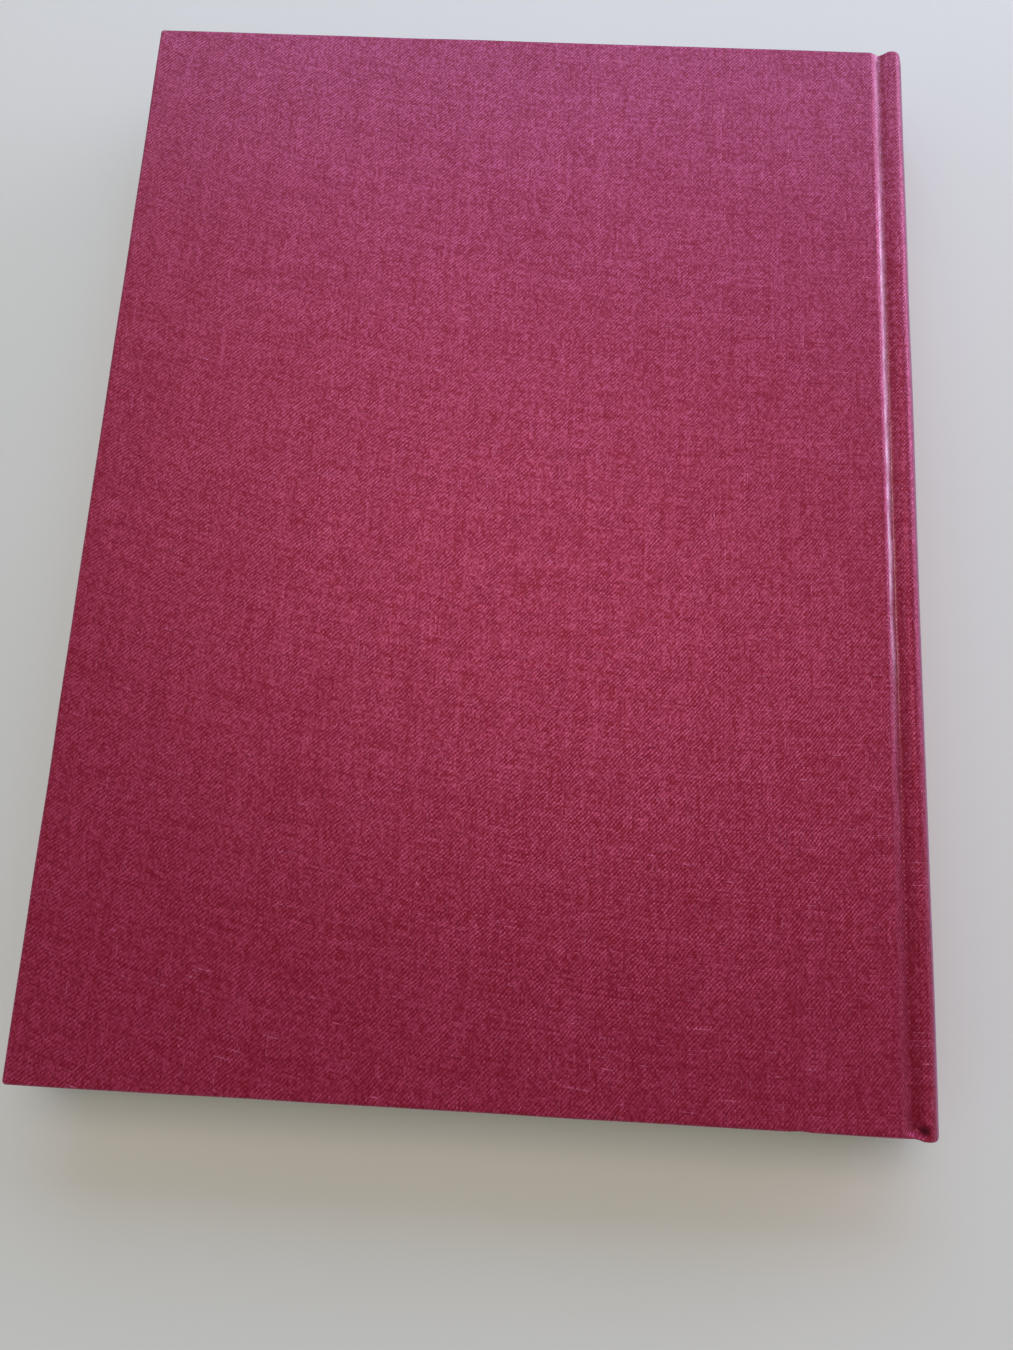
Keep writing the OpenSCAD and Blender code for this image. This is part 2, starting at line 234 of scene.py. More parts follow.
# How far a point lies from a spot on the cloth
def offSpot(tree, place, s, t):
    return addNode(tree, "VectorMath", {0: place}, {1: (s, weftPlace(s, t), 0)}, operation="DISTANCE")


# Painted shade: the joint and spine a little darker than the covers, the groove darker still, and the crushed
# spot at the tail darkest.
def paintedShadeTone(tree, tone, parts, offCrush):
    look = bookClothLook
    start, full, paintedSpineShade = look["paintedSpineShade"]
    past, valleyHalf, valleyShade = look["valley"]
    crushedHalf, crushedShade = look["crushed"][2:]
    offValley = offLine(tree, parts, look["jointAt"] + past)
    ramps = [
        (parts.outputs["X"], look["jointAt"] + start, look["jointAt"] + full, paintedSpineShade),
        # painted shade along the groove's bottom
        (offValley, valleyHalf, valleyHalf * look["markCore"], valleyShade),
        (offCrush, crushedHalf, crushedHalf * look["markCore"], crushedShade),
    ]
    for off, low, high, shade in ramps:
        darker = addNode(tree, "MapRange", {"Value": off},
                         {"From Min": low, "From Max": high, "To Min": 0.0, "To Max": shade})
        tone = addNode(tree, "Math", {0: tone, 1: darker}, operation="ADD")
    return tone


# Slubs run along a thread, and neps are knots of fibre as wide as two or three threads
def slubsAndNeps(tree, place, clouds):
    look = bookClothLook
    low, high = look["slubPatchRange"]
    easier = addNode(tree, "MapRange", {"Value": clouds["slubPatches"]},
                     {"From Min": low, "From Max": high,
                      "To Min": -look["slubPatchShift"], "To Max": look["slubPatchShift"]})
    marks = []
    for name in ("warpSlub", "weftSlub"):
        eased = addNode(tree, "Math", {0: clouds[name], 1: easier}, operation="ADD")
        mark = addNode(tree, "MapRange", {"Value": eased},
                       {"From Min": look["slubStart"], "From Max": look["slubStart"] + look["slubRamp"]})
        marks.append(mark)
    for x, y in look["neps"]:
        off = offSpot(tree, place, x * mm - foreX, y * mm)
        mark = addNode(tree, "MapRange", {"Value": off}, {"From Min": look["nepSize"], "From Max": 0.0})
        marks.append(mark)
    raised = marks[0]
    for mark in marks[1:]:
        raised = addNode(tree, "Math", {0: raised, 1: mark}, operation="MAXIMUM")
    return raised


# The glazed strip on the joint, which fades towards the tail, and a little at the head
def jointGlaze(tree, parts, clouds):
    look = bookClothLook
    near = addNode(tree, "MapRange", {"Value": offLine(tree, parts, look["jointAt"])},
                   {"From Min": look["jointWide"], "From Max": look["jointWide"] / 2})
    glaze = addNode(tree, "Math", {0: clouds["glaze"], 1: near}, operation="MULTIPLY")
    for low, high, least, most in look["glazeFades"]:
        along = addNode(tree, "MapRange", {"Value": parts.outputs["Y"]},
                        {"From Min": low, "From Max": high, "To Min": least, "To Max": most})
        glaze = addNode(tree, "Math", {0: glaze, 1: along}, operation="MULTIPLY")
    return glaze


def bookClothMaterial():
    look = bookClothLook
    shine = hexToLinear(look["shine"])
    material, tree, shader = newMaterial("wovenBookCloth", {
        "Metallic": 0.34, "Roughness": 0.38, "IOR": 1.5, "Specular Tint": shine,
        "Coat Roughness": 0.22, "Sheen Weight": 0.25, "Sheen Roughness": 0.4, "Sheen Tint": shine,
    })
    place = addNode(tree, "UVMap", uv_map="threads")
    parts = addNode(tree, "SeparateXYZ", {0: place})
    clouds = clothClouds(tree, place)
    counts = threadCounts(tree, parts, clouds)
    clouds["crossing"] = crossingTones(tree, counts)
    crushedS, crushedT, crushedHalf = look["crushed"][:3]
    offCrush = offSpot(tree, place, crushedS, crushedT)
    tone = paintedShadeTone(tree, wovenTone(tree, shadedDiagonalHatch(tree, counts), clouds), parts, offCrush)

    flecked = addNode(tree, "Math", {0: tone}, {1: look["fleck"]}, operation="POWER")
    dull, bright = look["gloss"]
    gloss = addNode(tree, "MapRange", {"Value": flecked}, {"To Min": dull, "To Max": bright})
    tree.links.new(gloss.outputs[0], shader.inputs["Specular IOR Level"])
    dyed = addNode(tree, "Mix", {"Factor": flecked},
                   {"A": hexToLinear(look["dark"]), "B": hexToLinear(look["light"])},
                   data_type="RGBA", clamp_factor=False)

    raised = slubsAndNeps(tree, place, clouds)
    dotted = addNode(tree, "MapRange", {"Value": clouds["crossing"]},
                     {"To Min": 0.0, "To Max": look["slubDots"]})
    faint = addNode(tree, "Math", {0: raised, 1: dotted}, operation="MULTIPLY")
    coloured = addNode(tree, "Mix", {"Factor": faint, "A": dyed}, {"B": hexToLinear(look["slub"])},
                       data_type="RGBA")
    # Painted shade in the crushed dent at the tail, darker than the dyed cloth alone
    dentShaded = addNode(tree, "MapRange", {"Value": offCrush},
                      {"From Min": crushedHalf * look["dentShadeShare"], "From Max": 0.0})
    coloured = addNode(tree, "Mix", {"Factor": dentShaded, "A": coloured}, {"B": hexToLinear(look["dentShadeColour"])},
                       data_type="RGBA")

    tree.links.new(jointGlaze(tree, parts, clouds).outputs[0], shader.inputs["Coat Weight"])
    height = addNode(tree, "Math", {0: raised, 1: tone}, operation="ADD")
    finishMaterial(tree, shader, coloured, height, look["threadHeight"])
    return material


# Uncoated book paper, trimmed in a stack: each leaf's cut edge has its own shade, which shows as fine lines.
leavesLook = dict(linePitch=0.3 * mm, lineLong=40 * mm, paper="#e6dfcc", shade="#c9bea4", lineDepth=0.05 * mm)


def leavesMaterial():
    look = leavesLook
    material, tree, shader = newMaterial("trimmedBookPaper",
                                         {"Roughness": 0.85, "IOR": 1.45, "Specular IOR Level": 0.3})
    place = addNode(tree, "UVMap", uv_map="leaves")
    lines = addNode(tree, "VectorMath", {0: place}, {1: (1 / look["lineLong"], 1 / look["linePitch"], 0)},
                    operation="MULTIPLY")
    shade = addNode(tree, "TexNoise", {"Vector": lines}, {"Scale": 1.0, "Detail": 3.0, "Roughness": 0.7},
                    noise_dimensions="2D")
    spread = addNode(tree, "MapRange", {"Value": shade}, {"From Min": 0.25, "From Max": 0.75})
    mixed = addNode(tree, "Mix", {"Factor": spread},
                    {"A": hexToLinear(look["shade"]), "B": hexToLinear(look["paper"])}, data_type="RGBA")
    finishMaterial(tree, shader, mixed, spread, look["lineDepth"])
    return material


# Wove endpaper, heavier and a little whiter than the leaves, with the felt's faint cloudiness.
endpaperLook = dict(felt=2.38 * mm, cloud=28.6 * mm, thin="#e2dbca", full="#ebe5d6", feltDepth=0.02 * mm)


def endpaperMaterial():
    look = endpaperLook
    material, tree, shader = newMaterial("woveEndpaper",
                                         {"Roughness": 0.8, "IOR": 1.45, "Specular IOR Level": 0.35})
    place = addNode(tree, "TexCoord").outputs["Object"]
    felt = addNode(tree, "TexNoise", {"Vector": place},
                   {"Scale": 1 / look["felt"], "Detail": 4.0, "Roughness": 0.6})
    cloudy = addNode(tree, "TexNoise", {"Vector": place}, {"Scale": 1 / look["cloud"], "Detail": 2.0})
    both = addNode(tree, "Math", {0: felt, 1: cloudy}, operation="ADD")
    spread = addNode(tree, "MapRange", {"Value": both}, {"From Min": 0.7, "From Max": 1.3})
    mixed = addNode(tree, "Mix", {"Factor": spread},
                    {"A": hexToLinear(look["thin"]), "B": hexToLinear(look["full"])}, data_type="RGBA")
    finishMaterial(tree, shader, mixed, felt, look["feltDepth"])
    return material


# Greyboard, pressed from waste paper: flecked, with its layers showing at a cut edge.
greyboardLook = dict(
    surface={"Roughness": 0.9, "IOR": 1.45, "Specular IOR Level": 0.25},
    grain=(3.33 * mm, 3.33 * mm, 0.385 * mm), detail=5.0, coarse=0.7, spread=(0.3, 0.7),
    dark="#716c64", light="#9d978d", depth=0.06 * mm,
)

# Mull, the binder's open cotton gauze: stiffened with starch, a hole between every pair of threads.
gauzeLook = dict(pitch=1.0 * mm, hole="#a39a86", thread="#e4ddcc", threadDepth=0.12 * mm)


def gauzeMaterial():
    look = gauzeLook
    material, tree, shader = newMaterial("starchedMull",
                                         {"Roughness": 0.9, "IOR": 1.5, "Specular IOR Level": 0.2})
    place = addNode(tree, "TexCoord").outputs["Object"]
    parts = addNode(tree, "SeparateXYZ", {0: place})
    waves = []
    for axis in ("X", "Y"):
        turns = addNode(tree, "Math", {0: parts.outputs[axis]}, {1: math.tau / look["pitch"]},
                        operation="MULTIPLY")
        waves.append(addNode(tree, "Math", {0: turns}, operation="SINE"))
    top = addNode(tree, "Math", {0: waves[0], 1: waves[1]}, operation="MAXIMUM")
    spread = addNode(tree, "MapRange", {"Value": top}, {"From Min": -0.3, "From Max": 0.6})
    mixed = addNode(tree, "Mix", {"Factor": spread},
                    {"A": hexToLinear(look["hole"]), "B": hexToLinear(look["thread"])}, data_type="RGBA")
    finishMaterial(tree, shader, mixed, spread, look["threadDepth"])
    return material


# Machine-glazed kraft paper: brown, long fibres along the spine, one side smoother.
kraftLook = dict(
    surface={"Roughness": 0.6, "IOR": 1.45, "Specular IOR Level": 0.4},
    grain=(0.556 * mm, 3.85 * mm, 0.556 * mm), detail=4.0, coarse=0.65, spread=(0.3, 0.7),
    dark="#8f744f", light="#b39868", depth=0.03 * mm,
)

# Twisted silk wound round a cord, natural white: a soft shine across each turn.
silkLook = dict(
    surface={"Roughness": 0.42, "IOR": 1.5, "Sheen Weight": 0.4, "Sheen Roughness": 0.3},
    grain=(0.192 * mm, 0.192 * mm, 0.192 * mm), detail=2.0, coarse=0.5, spread=(0.0, 1.0),
    dark="#cbbf9f", light="#efe7d0", depth=0.04 * mm,
)

# Satin lacquer, rolled on: pale, even, with a soft reflection.
tableLook = dict(
    surface={"Roughness": 0.45, "IOR": 1.5, "Specular IOR Level": 0.35},
    grain=(111 * mm, 111 * mm, 111 * mm), detail=1.0, coarse=0.5, spread=(0.0, 1.0),
    dark="#c9c9c2", light="#cdcdc6", depth=0.01 * mm,
)


# Meshes: helpers

# A mesh whose faces all turn outward. uv gives a place for each point.
def meshPiece(name, points, faces, uv=None, uvName="threads", material=None):
    mesh = bpy.data.meshes.new(name)
    bm = bmesh.new()
    made = [bm.verts.new(p) for p in points]
    layer = bm.loops.layers.uv.new(uvName) if uv is not None else None
    for corners in faces:
        if len(set(corners)) < len(corners):
            continue
        face = bm.faces.new([made[i] for i in corners])
        face.smooth = True
        if layer is not None:
            for loop, i in zip(face.loops, corners):
                loop[layer].uv = uv[i]
    bmesh.ops.remove_doubles(bm, verts=bm.verts, dist=1e-6)
    bmesh.ops.dissolve_degenerate(bm, edges=bm.edges, dist=1e-7)
    bmesh.ops.recalc_face_normals(bm, faces=bm.faces)
    bm.to_mesh(mesh)
    bm.free()
    obj = bpy.data.objects.new(name, mesh)
    scene.collection.objects.link(obj)
    if material:
        mesh.materials.append(material)
    return obj


# Flips the faces if the one that lies furthest from a point inside looks at it
def turnOutward(obj, inside):
    centre = Vector(inside)
    face = max(obj.data.polygons, key=lambda p: (p.center - centre).length)
    if face.normal.dot(face.center - centre) < 0:
        obj.data.flip_normals()


# Gives a sheet its thickness, on the side away from its outer face, in the mesh itself
def thicken(obj, thickness):
    made = obj.modifiers.new("thickness", "SOLIDIFY")
    made.thickness = thickness
    made.offset = -1
    bpy.context.view_layer.update()
    solid = bpy.data.meshes.new_from_object(obj.evaluated_get(bpy.context.evaluated_depsgraph_get()))
    obj.modifiers.clear()
    old = obj.data
    obj.data = solid
    bpy.data.meshes.remove(old)


def smoothstep(low, high, x):
    t = np.clip((np.asarray(x, float) - low) / (high - low), 0, 1)
    return t * t * (3 - 2 * t)


def bell(x, middle, width):
    return math.exp(-((x - middle) / width) ** 2)


# A smooth random wave, from -1 to 1, with about one swing for each length
def wave(x, length, seed):
    return noise.noise((x / length, seed, 0.5 * seed)) * 1.6


def evenStops(low, high, step):
    count = max(1, round((high - low) / step))
    return [low + (high - low) * i / count for i in range(count + 1)]


# Sections across the book, drawn as (x, height above the middle plane)

def polar(radius, angle):
    return np.array([radius * math.cos(angle), radius * math.sin(angle)])


def leftOf(a, b):
    along = (b - a) / np.linalg.norm(b - a)
    return np.array([-along[1], along[0]])


def cross2(a, b):
    return a[0] * b[1] - a[1] * b[0]


def crossing(p, u, q, v):
    return p + u * cross2(q - p, v) / cross2(u, v)


def tangentTo(p, centre, radius):
    away = centre - p
    return polar(1, math.atan2(away[1], away[0]) + math.asin(radius / np.linalg.norm(away)))


# Points and outward normals along straight runs through the corners, each rounded to its radius
def roundedPath(corners, radii, step):
    found = [(corners[0], leftOf(corners[0], corners[1]))]
    for before, corner, after, radius in zip(corners, corners[1:], corners[2:], radii):
        n1, n2 = leftOf(before, corner), leftOf(corner, after)
        turn = math.copysign(1, cross2(corner - before, after - corner))
        centre = corner + turn * radius * (n1 + n2) / (1 + n1 @ n2)
        start, sweep = math.atan2(n1[1], n1[0]), math.atan2(cross2(n1, n2), n1 @ n2)
        count = max(2, math.ceil(abs(sweep) / step))
        for i in range(count + 1):
            normal = polar(1, start + sweep * i / count)
            found.append((centre - turn * radius * normal, normal))
    found.append((corners[-1], leftOf(corners[-2], corners[-1])))
    return found


# Adds points where two neighbours lie further apart than step
def withoutLongRuns(path, step):
    found = [path[0]]
    for (a, na), (b, nb) in zip(path, path[1:]):
        gap = np.linalg.norm(b - a)
        if gap < 1e-7:
            continue
        count = max(1, math.ceil(gap / step))
        for i in range(1, count + 1):
            normal = na + (nb - na) * i / count
            found.append((a + (b - a) * i / count, normal / np.linalg.norm(normal)))
    return found


# The book's own measures, from the frame

boardLow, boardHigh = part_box("back_board")
clothLow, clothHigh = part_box("back_cloth")
spineLow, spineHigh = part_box("spine_cloth")
leavesLow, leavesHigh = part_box("text_block")
pasteLow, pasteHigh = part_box("back_pastedown")
mullLow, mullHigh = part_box("back_mull")
midZ = (spineLow.z + spineHigh.z) / 2
clothThick = clothHigh.z - boardHigh.z
boardEdge = boardHigh.x
foreX = clothLow.x
faceH = clothHigh.z - midZ
turnInH = clothLow.z - midZ
coverEnd = clothHigh.y
spineEnd = spineHigh.y
coverWidth = boardEdge - foreX

caseSection = dict(
    grooveX=2.9 * mm, grooveDepth=1.35 * mm, grooveRadius=0.7 * mm, rollRadius=2.2 * mm,
    ridgeRadius=3 * mm, ridgeDrop=0.15 * mm, spineRadius=20 * mm,
    arcStep=math.radians(4), spineFineness=1.3,  # smaller steps round the spine
    longestRun=1.2 * mm,
)
spineCentre = np.array([spineHigh.x - caseSection["spineRadius"], 0.0])
ridgeH = faceH - caseSection["ridgeDrop"] - caseSection["ridgeRadius"]
ridgeAngle = math.asin(ridgeH / (caseSection["spineRadius"] - caseSection["ridgeRadius"]))
ridgeCentre = spineCentre + polar(caseSection["spineRadius"] - caseSection["ridgeRadius"], ridgeAngle)


# From the board's flat face, over the roll, groove and ridge, to the middle of the spine
def outerSection():
    s = caseSection
    roll = np.array([boardEdge + s["rollRadius"] / 6, faceH])
    groove = np.array([boardEdge + s["grooveX"], faceH - s["grooveDepth"]])
    ridge = crossing(groove, tangentTo(groove, ridgeCentre, s["ridgeRadius"]),
                     spineCentre + polar(s["spineRadius"], ridgeAngle), polar(1, ridgeAngle + math.pi / 2))
    start = np.array([boardEdge - 2 * s["rollRadius"], faceH])
    last = spineCentre + polar(s["spineRadius"], ridgeAngle)
    path = roundedPath([start, roll, groove, ridge, last],
                       [s["rollRadius"], s["grooveRadius"], s["ridgeRadius"]], s["arcStep"])[:-1]
    count = math.ceil(ridgeAngle / s["arcStep"] * s["spineFineness"])
    for i in range(1, count + 1):
        normal = polar(1, ridgeAngle * (1 - i / count))
        path.append((spineCentre + s["spineRadius"] * normal, normal))
    return withoutLongRuns(path, s["longestRun"])


# The case's cloth: one sheet on the real book, parted here in the lower groove, where no view looks

caseCloth = dict(
    faceStep=2.6 * mm,
    edgeSteps=(0.4 * mm, 2 * mm),  # finer just inside the fore-edge
    endStep=0.5 * mm,  # finer towards the head and tail too
    endSteps=9,
    endGap=2 * mm,  # between the finer rows and the even ones
    cornerRadius=1.0 * mm,
    wrapRadius=0.7 * mm,
    thinWrapRadius=0.43 * mm,  # where only two layers of cloth meet, in the groove
    thinWrapEase=0.45,  # how far the spine's wrap swells again, over the card
    grooveStack=0.92 * mm,
    spineStack=1.3 * mm,
    stackFrom=(0.3 * mm, 2.3 * mm),  # past the board's edge, where the turn-in leaves the board
    cardFrom=(4 * mm, 6.5 * mm),  # where it lies on the card
    spineFrom=(3.2 * mm, 5.6 * mm),  # where the case is as tall as the spine
    tallFrom=14 * mm,  # before the cover's end
    turnIn=15 * mm,
    turnInStops=(3 * mm, 5 * mm, 8 * mm, 11.5 * mm),
    mitreReach=38 * mm,
    arcSteps=5,
    blendFrom=102.2 * mm,
    seamX=102.4 * mm,
    weftSkew=(-0.297, 0.159),  # slope of the weft at the fore-edge, and how it eases towards the spine
)


# The weft was pulled askew in binding: it slopes most at the fore-edge and eases towards the spine
def weftPlace(s, t):
    share = s / coverWidth
    slope, ease = caseCloth["weftSkew"]
    return t - coverWidth * (slope * share + ease * share * share)


# From 0 to 1 between two distances past the board's edge
def pastBoard(x, reach):
    return float(smoothstep(boardEdge + reach[0], boardEdge + reach[1], x))


# Each station has its outer point, outward normal and the point where the turned-in cloth lies
def caseStations():
    c = caseCloth
    first, second = foreX + c["wrapRadius"], foreX + c["cornerRadius"]
    section = outerSection()
    near, far = (second + step for step in c["edgeSteps"])
    flat = [first, second, near] + evenStops(far, section[0][0][0], c["faceStep"])[:-1]
    up = np.array([0.0, 1.0])
    points = [(np.array([x, faceH]), up) for x in flat] + section
    stations, length = [], 0.0
    for i, (p, n) in enumerate(points):
        if i:
            length += float(np.linalg.norm(p - points[i - 1][0]))
        joint, spine = pastBoard(p[0], c["stackFrom"]), pastBoard(p[0], c["cardFrom"])
        stack = c["grooveStack"] + (c["spineStack"] - c["grooveStack"]) * spine
        flatPoint = np.array([p[0], turnInH])
        turned = flatPoint + (p - n * stack - flatPoint) * joint
        thinner = (c["thinWrapRadius"] - c["wrapRadius"]) * joint * (1 - spine * c["thinWrapEase"])
        end = coverEnd + (spineEnd - coverEnd) * pastBoard(p[0], c["spineFrom"])
        stations.append(dict(p=p, n=n, q=turned, r=c["wrapRadius"] + thinner, end=end, s=length))
    return stations


def mirrorStation(station, around):
    flip = np.array([1.0, -1.0])
    return dict(station, p=station["p"] * flip, n=station["n"] * flip, q=station["q"] * flip,
                s=2 * around - station["s"])


# Round the edge of what the cloth covers: outward, inward, length of cloth, inset from the outline
def wrapLevels(depth, radius):
    c = caseCloth
    found, quarter = [], math.pi / 2
    for k in range(1, c["arcSteps"] + 1):
        a = quarter * k / c["arcSteps"]
        found.append((radius * math.sin(a), radius * (1 - math.cos(a)), radius * a, 0.0))
    side = depth - 2 * radius
    found.append((radius, depth / 2, radius * quarter + side / 2, 0.0))
    for k in range(0, c["arcSteps"] + 1):
        a = quarter * k / c["arcSteps"]
        found.append((radius * math.cos(a), depth - radius + radius * math.sin(a),
                      radius * quarter + side + radius * a, radius * (1 - math.cos(a))))
    reach = radius * math.pi + side
    for inset in (c["cornerRadius"], *c["turnInStops"], c["turnIn"]):
        found.append((radius - inset, depth, reach + inset - radius, inset))
    return found


# Small faults of the bound cloth. much is how far the cloth moves, long is one swing along the edge, wide and
# tall are half a mark's size, and past is beyond the board's edge.
caseWear = dict(
    coverEnds=dict(much=0.1 * mm, long=26 * mm, reach=(8 * mm, 1 * mm)),
    foreEdge=dict(much=0.1 * mm, long=30 * mm, reach=(6 * mm, 1 * mm)),
    slackGroove=dict(much=0.1 * mm, long=14 * mm, past=3 * mm, wide=1.4 * mm,
                     beyondH=5 * mm),  # only this far above or below the middle plane
    filledGroove=dict(past=3.1 * mm, wide=1.3 * mm,  # by the turned-in cloth, at the joint's ends
                      tail=(0.7, -144.9 * mm, -146.2 * mm), head=(0.1, 145.0 * mm, 146.4 * mm)),
    ridge=dict(much=0.12 * mm, long=40 * mm, past=(3.6 * mm, 6 * mm)),
    tailDent=dict(much=1.4 * mm, x=102.5 * mm, y=-144.6 * mm, wide=1.0 * mm),  # crushed by a knock
    tailPinch=dict(much=0.12 * mm, x=101.4 * mm, wide=0.9 * mm),
    tailBulge=dict(much=0.12 * mm, x=104.6 * mm, wide=1.8 * mm),
    tailReach=3.2 * mm,
    coverNick=dict(much=0.2 * mm, x=75 * mm, wide=0.8 * mm),
    headCap=dict(much=0.3 * mm, wide=3 * mm, x=(101.4 * mm, 103.4 * mm)),
    headLift=dict(much=0.12 * mm, x=102.2 * mm, y=142.5 * mm, wide=1.0 * mm, tall=3 * mm),
    spineRim=dict(much=0.55 * mm, tall=1.4 * mm, x=106 * mm, ramp=3.5 * mm),  # its ends are rounded off
)


# The upper side's tail: a dent, a pinch and a bulge on the ridge, and a nick in the cover's edge
def wearTail(x, y, z, nearEnd):
    w = caseWear
    dent, pinch, bulge, nick = w["tailDent"], w["tailPinch"], w["tailBulge"], w["coverNick"]
    reach = bell(y, -coverEnd, w["tailReach"])
    z -= dent["much"] * bell(x, dent["x"], dent["wide"]) * bell(y, dent["y"], dent["wide"])
    y += pinch["much"] * bell(x, pinch["x"], pinch["wide"]) * reach
    y -= bulge["much"] * bell(x, bulge["x"], bulge["wide"]) * reach
    y += nick["much"] * bell(x, nick["x"], nick["wide"]) * nearEnd
    return y, z


# The upper side's head: the spine's cap stands a little taller, and the joint's end is lifted
def wearHead(x, y, z):
    cap, lift = caseWear["headCap"], caseWear["headLift"]
    y += cap["much"] * bell(y, spineEnd, cap["wide"]) * float(smoothstep(*cap["x"], x))
    z += lift["much"] * bell(x, lift["x"], lift["wide"]) * bell(y, lift["y"], lift["tall"])
    return y, z


def wearCase(x, y, z):
    w = caseWear
    ends, fore, ridge, rim = w["coverEnds"], w["foreEdge"], w["ridge"], w["spineRim"]
    slack, filled = w["slackGroove"], w["filledGroove"]
    nearEnd = float(smoothstep(*ends["reach"], coverEnd - abs(y)))
    nearFore = float(smoothstep(*fore["reach"], x - foreX))
    upper = z > midZ
    side, seed = (1, 3.0) if upper else (-1, 9.0)
    y += math.copysign(ends["much"], y) * nearEnd * wave(x, ends["long"], seed + (y > 0))
    x += fore["much"] * nearFore * wave(y, fore["long"], seed + 5)
    groove = bell(x, boardEdge + slack["past"], slack["wide"]) if abs(z - midZ) > slack["beyondH"] else 0
    z += side * slack["much"] * groove * (wave(y, slack["long"], seed + 7) - 1)
    fill = 0.0
    for share, start, full in (filled["tail"], filled["head"]):
        fill += share * float(smoothstep(start, full, y))
    z += side * caseSection["grooveDepth"] * fill * bell(x, boardEdge + filled["past"], filled["wide"])
    x += ridge["much"] * pastBoard(x, ridge["past"]) * wave(y, ridge["long"], 13.0)
    if upper:
        y, z = wearTail(x, y, z, nearEnd) if y < 0 else wearHead(x, y, z)
    end = min(1.0, max(0.0, (abs(y) - (spineEnd - rim["tall"])) / rim["tall"]))
    around = min(1.0, max(0.0, (x - rim["x"]) / rim["ramp"]))
    x -= rim["much"] * around * (1 - math.sqrt(1 - end ** 2))
    return x, y, z


def atLength(p, y):
    return np.array([p[0], y, p[1]])


# A sheet in the making holds its points, their places among the threads, and its faces
def addClothPoint(sheet, place, s, t):
    x, y, z = wearCase(place[0], place[1], place[2] + midZ)
    sheet["points"].append((x, y, z - midZ))
    sheet["uv"].append((s, weftPlace(s, t)))
    return len(sheet["points"]) - 1


# The seen face, station by station, up to where it turns over the edges: it gives back each point's number
def clothFace(sheet, stations, stops):
    last, top = len(stations) - 1, len(stops) - 1
    index = {}
    for i, station in enumerate(stations):
        for j, stop in enumerate(stops):
            if i == 0 and j in (0, top):
                continue
            if j in (0, top):
                y = math.copysign(station["end"] - station["r"], stop)
            else:
                taller = float(smoothstep(coverEnd - caseCloth["tallFrom"], coverEnd, abs(stop)))
                y = stop + math.copysign((station["end"] - coverEnd) * taller, stop)
            index[i, j] = addClothPoint(sheet, atLength(station["p"], y), station["s"], y)
    for i in range(last):
        for j in range(top):
            quad = [index.get(k) for k in ((i, j), (i + 1, j), (i + 1, j + 1), (i, j + 1))]
            if None not in quad:
                sheet["faces"].append(quad)
    return index


# The face's rim, from the head round both corners to the tail: each column of it is turned in later
def clothRim(sheet, stations, stops, index):
    c = caseCloth
    fore = stations[0]
    last, top = len(stations) - 1, len(stops) - 1
    columns = []

    def addColumn(rim, place, outward, station, s, t, kind):
        columns.append(dict(rim=rim, place=place, outward=np.array([*outward, 0.0]), station=station,
                            s=s, t=t, kind=kind))

    def endSide(sign, order):
        for i in order:
            station = stations[i]
            y = sign * (station["end"] - station["r"])
            addColumn(index[i, top if sign > 0 else 0], atLength(station["p"], y), (0, sign), station,
                      station["s"], y, "end")

    def corner(sign, start):
        middle = (foreX + c["cornerRadius"], sign * (coverEnd - c["cornerRadius"]))
        ring = c["cornerRadius"] - c["wrapRadius"]
        arc = []
        for k in range(1, c["arcSteps"]):
            angle = start + math.pi / 2 * k / c["arcSteps"]
            out = (math.cos(angle), math.sin(angle))
            place = np.array([middle[0] + ring * out[0], middle[1] + ring * out[1], faceH])
            s, t = place[0] - foreX, place[1]
            arc.append(addClothPoint(sheet, place, s, t))
            addColumn(arc[-1], place, out, fore, s, t, "corner")
        return arc

    def fan(middle, ring):
        for a, b in zip(ring, ring[1:]):
            sheet["faces"].append([middle, a, b])

    endSide(1, range(last, 0, -1))
    arc = corner(1, math.pi / 2)
    fan(index[1, top - 1], [index[1, top], *arc, index[0, top - 1]])
    for j in range(top - 1, 0, -1):
        addColumn(index[0, j], atLength(fore["p"], stops[j]), (-1, 0), fore, fore["s"], stops[j], "fore")
    arc = corner(-1, math.pi)
    fan(index[1, 1], [index[0, 1], *arc, index[1, 0]])
    endSide(-1, range(1, last + 1))
    return columns


# Each column goes round the edge and back along the inside, and gives way to the mitre near a corner
def foldTurnIns(sheet, columns):
    c = caseCloth
    rings = []
    for column in columns:
        station, outward, kind = column["station"], column["outward"], column["kind"]
        away = atLength(station["q"] - station["p"], 0.0)
        depth = float(np.linalg.norm(away))
        ring = [column["rim"]]
        for out, inward, length, inset in wrapLevels(depth, station["r"]):
            place = column["place"] + outward * out + away / depth * inward
            beyond = max(0.0, inset - c["cornerRadius"])
            if kind == "end":
                fromCorner = column["place"][0] - foreX - c["cornerRadius"]
                place[0] += beyond * float(smoothstep(c["mitreReach"], 0, fromCorner))
            elif kind == "fore":
                fromCorner = coverEnd - c["cornerRadius"] - abs(column["place"][1])
                giveWay = beyond * float(smoothstep(c["mitreReach"], 0, fromCorner))
                place[1] -= math.copysign(giveWay, place[1])
            elif inset >= c["cornerRadius"]:
                place[0] = foreX + inset
                place[1] = math.copysign(coverEnd - inset, outward[1])
            s = column["s"] + (length * outward[0] if kind != "end" else 0.0)
            ring.append(addClothPoint(sheet, place, s, column["t"] + length * outward[1]))
        rings.append(ring)
    for a, b in zip(rings, rings[1:]):
        for k in range(len(a) - 1):
            sheet["faces"].append([a[k], a[k + 1], b[k + 1], b[k]])


